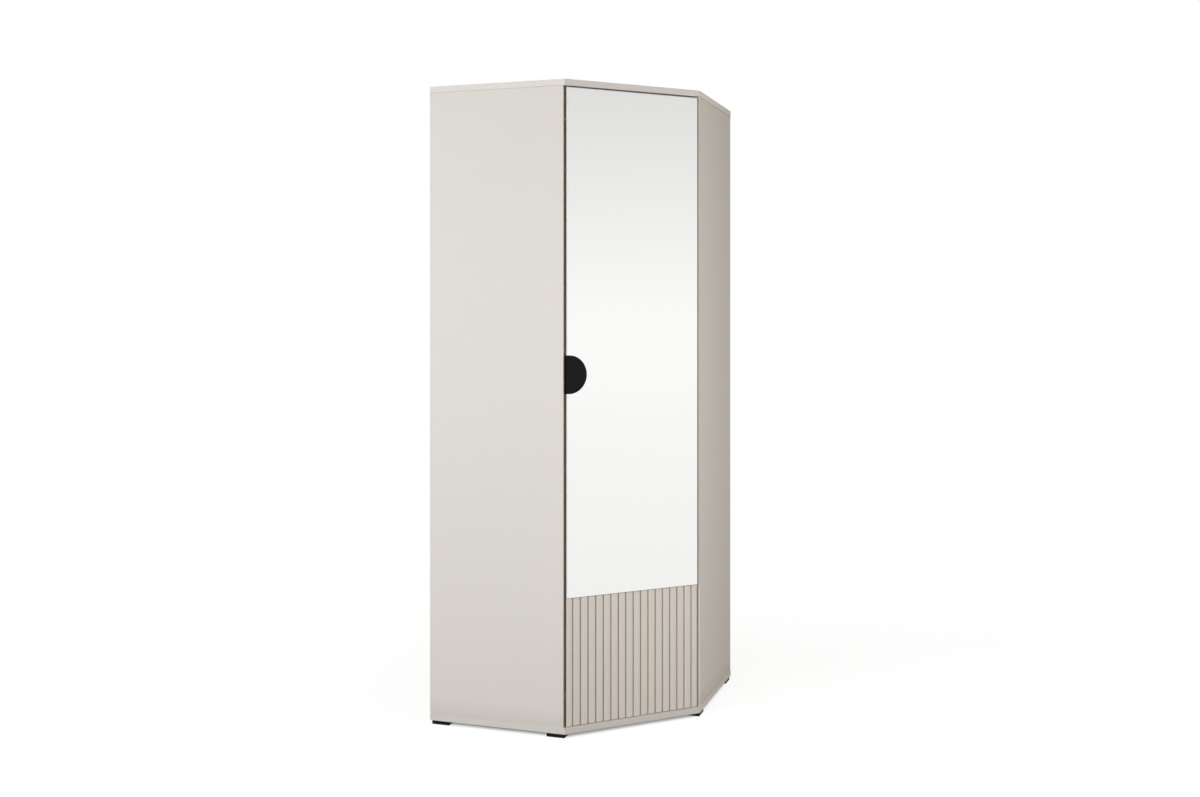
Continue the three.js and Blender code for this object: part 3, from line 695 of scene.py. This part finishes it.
in_front = calculate(tree, "LESS_THAN", inward, door_low[1] + PAINTED_SHADE_DEPTH)
mirror_foot = line_across(tree, UPWARD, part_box("mirror")[0].z, MIRROR_SHADOW_WIDTH)
# Painted shade, darker and warmer, in the flutes where shade falls.
tint(door_material, flutes, FLUTE_PAINTED_SHADE)
# Painted shade on the door's bevelled edges, which stand in the slots beside the carcass.
tint(door_material, rims, RIM_PAINTED_SHADE)
# Painted shadow on the door's face under the mirror's foot.
tint(door_material, calculate(tree, "MULTIPLY", in_front, mirror_foot), MIRROR_FOOT_SHADOW)
dress(["door_panel"], door_material)


# The mirror is a 4 mm silvered sheet glued to the door, with ground and polished edges.
# It faces the room at the front, and its edges show the pale green of the glass.

MIRROR_SILVER = (251, 251, 249)
MIRROR_SHARE = 0.93
MIRROR_FACING = 0.98
GLASS_EDGE = (214, 217, 211)


def mirror_material():
    """Silver where the surface faces out of the door, and pale green glass round the edges."""
    material = bpy.data.materials.new("silvered_glass")
    material.use_nodes = True
    tree = material.node_tree
    shader = tree.nodes["Principled BSDF"]
    flat = facing_mask(tree, TO_FRONT, MIRROR_FACING)
    surface = add_node(tree, "ShaderNodeGroup", {
        "Color": linear(*MIRROR_SILVER), "Tone": 0.004, "Broad Scale": 1.2,
        "Grain Scale": 60.0, "Roughness": 0.012, "Sheen Drift": 0.01,
    }, node_tree=TONE_GROUP)
    colour = mix_colours(tree, flat, linear(*GLASS_EDGE), surface.outputs["Color"])
    tree.links.new(colour, shader.inputs["Base Color"])
    tree.links.new(surface.outputs["Roughness"], shader.inputs["Roughness"])
    tree.links.new(calculate(tree, "MULTIPLY", flat, MIRROR_SHARE), shader.inputs["Metallic"])
    return material


dress(["mirror"], mirror_material())


# The handle is a half-moon of folded steel plate, powder-coated black, that lies on the mirror
# and wraps round the door's edge, where two countersunk screws hold it.

HANDLE_BLACK = (16, 16, 16)
SUNK_HEAD_RADIUS = 0.0032
SUNK_HEAD_DEPTH = 0.0016
SUNK_CROSS = (0.0038, 0.0008, 0.0009)
BEVEL_OUT = Vector((0, 1, 0))


def sunk_head():
    """A countersunk head with its face at height 0, and a shank that ends where the CAD screw does."""
    low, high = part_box("handle_screw_low")
    bpy.ops.object.select_all(action="DESELECT")
    bpy.ops.mesh.primitive_cone_add(
        vertices=ROUND_SIDES, radius1=SUNK_HEAD_RADIUS / 2, radius2=SUNK_HEAD_RADIUS,
        depth=SUNK_HEAD_DEPTH, location=(0, 0, -SUNK_HEAD_DEPTH / 2),
    )
    head = bpy.context.active_object
    bpy.ops.object.transform_apply()
    bpy.ops.object.mode_set(mode="EDIT")
    pick_faces(head, -1)
    bpy.ops.mesh.extrude_region_move(
        TRANSFORM_OT_translate={"value": (0, 0, SUNK_HEAD_DEPTH - (high.y - low.y))},
    )
    bpy.ops.object.mode_set(mode="OBJECT")
    cut_cross(head, 0, SUNK_CROSS)
    smooth(head)
    return head


powder_coat = finish_material(
    "powder_coat", HANDLE_BLACK, roughness=0.55, bump=0.00006, tone=0.15, broad=20.0, grain=1100.0,
    specular=0.12,
)
dress(["handle"], powder_coat)
sunk_master = sunk_head()
sunk_master.data.materials.append(powder_coat)
for i, place in enumerate(("low", "high")):
    name = f"handle_screw_{place}"
    spot = face_spot(name, BEVEL_OUT)
    screw = stand(sunk_master, f"sunk_screw_{place}", spot, BEVEL_OUT, SCREW_TURN * (i + 1))
    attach(screw, "door")
    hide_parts(name)
bpy.data.objects.remove(sunk_master)


# Four concealed hinges carry the door. The cups, arms, plates and goose-neck links are steel,
# nickel-plated, and their screws have domed heads with a cross.

HINGES = 4
NICKEL = (202, 199, 193)
LINK_STEEL = (176, 176, 178)
FLANGE_RADIUS = 0.0185
CUP_SCREW_SPACING = 0.024
CUP_HEAD_DEPTH = 0.0016
PLATE_OUT = Vector((0, 1, 0))
PLATE_SCREW_LINE = 0.019
PLATE_SCREW_SPACING = 0.016
PLATE_HEAD_DROP = 0.0094
ARM_HEAD_RISE = 0.0023
ARM_CAM_LINE = 0.032

nickel_material = finish_material(
    "nickel_plate", NICKEL, roughness=0.24, bump=0.00002, tone=0.08, broad=50.0, grain=700.0,
    drift=0.12, metallic=1.0,
)
link_material = finish_material(
    "pressed_link", LINK_STEEL, roughness=0.34, bump=0.00002, tone=0.1, broad=60.0, grain=900.0,
    drift=0.12, metallic=1.0,
)
head_master.data.materials[0] = nickel_material
for i in range(1, HINGES + 1):
    dress([f"hinge_cup_{i}", f"hinge_arm_{i}", f"hinge_plate_{i}"], nickel_material)
    dress([f"hinge_link_{i}"], link_material)
    cup_low, cup_high = front_box(f"hinge_cup_{i}")
    height = (cup_low[2] + cup_high[2]) / 2
    plate_low, plate_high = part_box(f"hinge_plate_{i}")
    line = plate_low.x + PLATE_SCREW_LINE
    arm_face = plate_high.y + ARM_HEAD_RISE
    heads = [
        ("arm_screw", (line, arm_face, height), PLATE_OUT, "cabinet"),
        ("arm_cam", (plate_low.x + ARM_CAM_LINE, arm_face, height), PLATE_OUT, "cabinet"),
    ]
    for place, end in (("low", -1), ("high", 1)):
        cup_spot = front_spot(
            cup_low[0] + FLANGE_RADIUS, cup_high[1] - CUP_HEAD_DEPTH, height + end * CUP_SCREW_SPACING,
        )
        plate_spot = (line, plate_high.y - PLATE_HEAD_DROP, height + end * PLATE_SCREW_SPACING)
        heads.append((f"cup_screw_{place}", cup_spot, -TO_FRONT, "door"))
        heads.append((f"plate_screw_{place}", plate_spot, PLATE_OUT, "cabinet"))
    for j, (name, spot, direction, body) in enumerate(heads):
        head = stand(head_master, f"{name}_{i}", spot, direction, SCREW_TURN * (i + j))
        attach(head, body)
bpy.data.objects.remove(head_master)


# The door pads are small drops of clear soft plastic on the left side panel's front end.
# They are glued on, and the closed door's bevel rests against them.

PADS = ("door_pad_1", "door_pad_2", "door_pad_3")
PAD_WHITE = (225, 226, 222)
PAD_CLEARNESS = 0.6

pad_material = finish_material("soft_bumper", PAD_WHITE, roughness=0.25, bump=0.00001, tone=0.02)
pad_shader = pad_material.node_tree.nodes["Principled BSDF"]
pad_shader.inputs["Transmission Weight"].default_value = PAD_CLEARNESS
dress(PADS, pad_material)


# The studio is a pale floor that runs out of view, a plain surround and five soft lamps.
# The camera sees the far floor and the surround as white, metal and glass see both as pale,
# and the floor keeps the shade under the object, deepened by painted shadow under its rim.

FLOOR_SIZE = 60.0
FLOOR_BOUNCE = (0.45, 0.45, 0.45, 1)
FLOOR_SHOWN = (0.22, 0.225, 0.23, 1)
SHADE_START = -0.042
SHADE_END = 0.0
SHADE_GLOW = 0.0
OPEN_GLOW = 0.84
WHITE_START = 0.25
WHITE_END = 1.4
NEAR_FLOOR = 2.0
FAR_FLOOR = 22.0
FAR_EASE = 0.5
NEAR_REFLECTED = 0.896
FAR_REFLECTED = 0.986
PLAIN_WHITE = (1, 1, 1, 1)
AMBIENT = (0.42, 0.38, 0.33, 1)
HORIZON_REFLECTED = 0.98
ZENITH_REFLECTED = 0.70
ZENITH_HEIGHT = 0.2


def glow(tree, strength):
    """White light of a strength that leaves a surface by itself."""
    return add_node(tree, "ShaderNodeEmission", {"Color": PLAIN_WHITE, "Strength": strength}).outputs[0]


def seen_in_glass(tree, rays):
    """1 for a ray that a surface mirrors or lets through, and 0 for any other."""
    return calculate(tree, "MAXIMUM", rays["Is Glossy Ray"], rays["Is Transmission Ray"])


bpy.ops.object.select_all(action="DESELECT")
bpy.ops.mesh.primitive_plane_add(size=FLOOR_SIZE, location=(0, 0, 0))
floor = bpy.context.active_object
floor.name = "studio_floor"
floor_material = bpy.data.materials.new("studio_floor")
floor_material.use_nodes = True
tree = floor_material.node_tree
tree.nodes.clear()
rays = add_node(tree, "ShaderNodeLightPath").outputs
place = add_node(tree, "ShaderNodeTexCoord").outputs["Object"]
away = add_node(tree, "ShaderNodeVectorMath", {0: place}, operation="LENGTH").outputs["Value"]
far = calculate(tree, "POWER", ramp(tree, away, NEAR_FLOOR, FAR_FLOOR), FAR_EASE)
reflected = ramp(tree, far, 0.0, 1.0, NEAR_REFLECTED, FAR_REFLECTED)
folded_plan = add_node(tree, "ShaderNodeVectorMath", {0: place}, operation="ABSOLUTE").outputs[0]
plan = add_node(tree, "ShaderNodeSeparateXYZ", {0: folded_plan}).outputs
beside = calculate(tree, "SUBTRACT", calculate(tree, "MAXIMUM", plan["X"], plan["Y"]), cad_high.x)
ahead = distance_along(tree, place, TO_FRONT)
before = calculate(tree, "SUBTRACT", ahead, reach_of("bottom_panel", TO_FRONT))
outside = calculate(tree, "MAXIMUM", beside, before)
# Painted shadow: the floor's glow for the camera fades out from the plan's edge to 42 mm under it.
open_glow = ramp(tree, outside, SHADE_START, SHADE_END, SHADE_GLOW, OPEN_GLOW)
whiter = ramp(tree, outside, WHITE_START, WHITE_END, interpolation_type="SMOOTHSTEP")
floor_colour = mix_colours(tree, rays["Is Camera Ray"], FLOOR_BOUNCE, FLOOR_SHOWN)
near_floor = add_node(tree, "ShaderNodeAddShader", {
    0: add_node(tree, "ShaderNodeBsdfDiffuse", {"Color": floor_colour}).outputs[0],
    1: glow(tree, calculate(tree, "MULTIPLY", rays["Is Camera Ray"], open_glow)),
})
seen_floor = add_node(tree, "ShaderNodeMixShader", {
    0: calculate(tree, "MULTIPLY", rays["Is Camera Ray"], whiter),
    1: near_floor.outputs[0],
    2: glow(tree, 1.0),
})
any_floor = add_node(tree, "ShaderNodeMixShader", {
    0: seen_in_glass(tree, rays), 1: seen_floor.outputs[0], 2: glow(tree, reflected),
})
add_node(tree, "ShaderNodeOutputMaterial", {"Surface": any_floor.outputs[0]})
floor.data.materials.append(floor_material)

world = bpy.data.worlds.new("studio")
bpy.context.scene.world = world
world.use_nodes = True
tree = world.node_tree
tree.nodes.clear()
rays = add_node(tree, "ShaderNodeLightPath").outputs
direction = add_node(tree, "ShaderNodeTexCoord").outputs["Generated"]
height = add_node(tree, "ShaderNodeSeparateXYZ", {0: direction}).outputs["Z"]
reflected = ramp(tree, height, 0.0, ZENITH_HEIGHT, HORIZON_REFLECTED, ZENITH_REFLECTED)
unseen = mix_colours(tree, seen_in_glass(tree, rays), AMBIENT, reflected)
surround_colour = mix_colours(tree, rays["Is Camera Ray"], unseen, PLAIN_WHITE)
surround = add_node(tree, "ShaderNodeBackground", {"Color": surround_colour, "Strength": 1.0})
add_node(tree, "ShaderNodeOutputWorld", {"Surface": surround.outputs[0]})


def soft_lamp(name, place, target, size, watts, colour):
    """A rectangular soft lamp that looks at a point, and shows in no reflection."""
    lamp = bpy.data.lights.new(name, "AREA")
    lamp.shape = "RECTANGLE"
    lamp.size, lamp.size_y = size
    lamp.energy = watts
    lamp.color = colour
    holder = bpy.data.objects.new(name, lamp)
    bpy.context.scene.collection.objects.link(holder)
    holder.location = place
    holder.rotation_mode = "QUATERNION"
    holder.rotation_quaternion = (Vector(target) - Vector(place)).to_track_quat("-Z", "Y")
    holder.visible_glossy = False
    holder.visible_camera = False


soft_lamp(
    "key_lamp", place=(-3.2, 1.8, 1.6), target=(0, 0, 1.2), size=(2.0, 2.0),
    watts=72.0, colour=(0.94, 0.995, 1.0),
)
soft_lamp(
    "left_fill", place=(-3.4, -0.3, 1.6), target=(0, 0, 1.2), size=(2.0, 2.0),
    watts=23.5, colour=(0.92, 1.0, 1.25),
)
soft_lamp(
    "right_fill", place=(-0.9, -1.5, 1.22), target=(0.1, -0.2, 1.1), size=(0.6, 2.4),
    watts=15.4, colour=(0.98, 1.0, 0.99),
)
soft_lamp(
    "top_lamp", place=(0.05, 0.05, 3.3), target=(0, 0, 0), size=(0.6, 0.6),
    watts=16.0, colour=(1.0, 1.0, 1.0),
)
soft_lamp(
    "back_lamp", place=(3.0, 3.0, 1.3), target=(0, 0, 1.3), size=(1.4, 2.0),
    watts=34.0, colour=(1.0, 1.0, 1.0),
)


# The camera stands level before the left side, a little over four metres off.
# Its lens is shifted down, so the wardrobe's upright edges stay upright in the picture.

camera_data = bpy.data.cameras.new("view")
camera_data.sensor_fit = "HORIZONTAL"
camera_data.sensor_width = 36.0
camera_data.lens = 38.752
camera_data.shift_x = 0.00173
camera_data.shift_y = -0.07197
camera_data.clip_end = 200.0
camera = bpy.data.objects.new("view", camera_data)
bpy.context.scene.collection.objects.link(camera)
camera.location = (-4.0577, -1.3854, 1.28725)
camera.rotation_euler = (math.radians(90), 0, math.radians(-71.548))
bpy.context.scene.camera = camera
bpy.context.scene.view_settings.view_transform = "Standard"
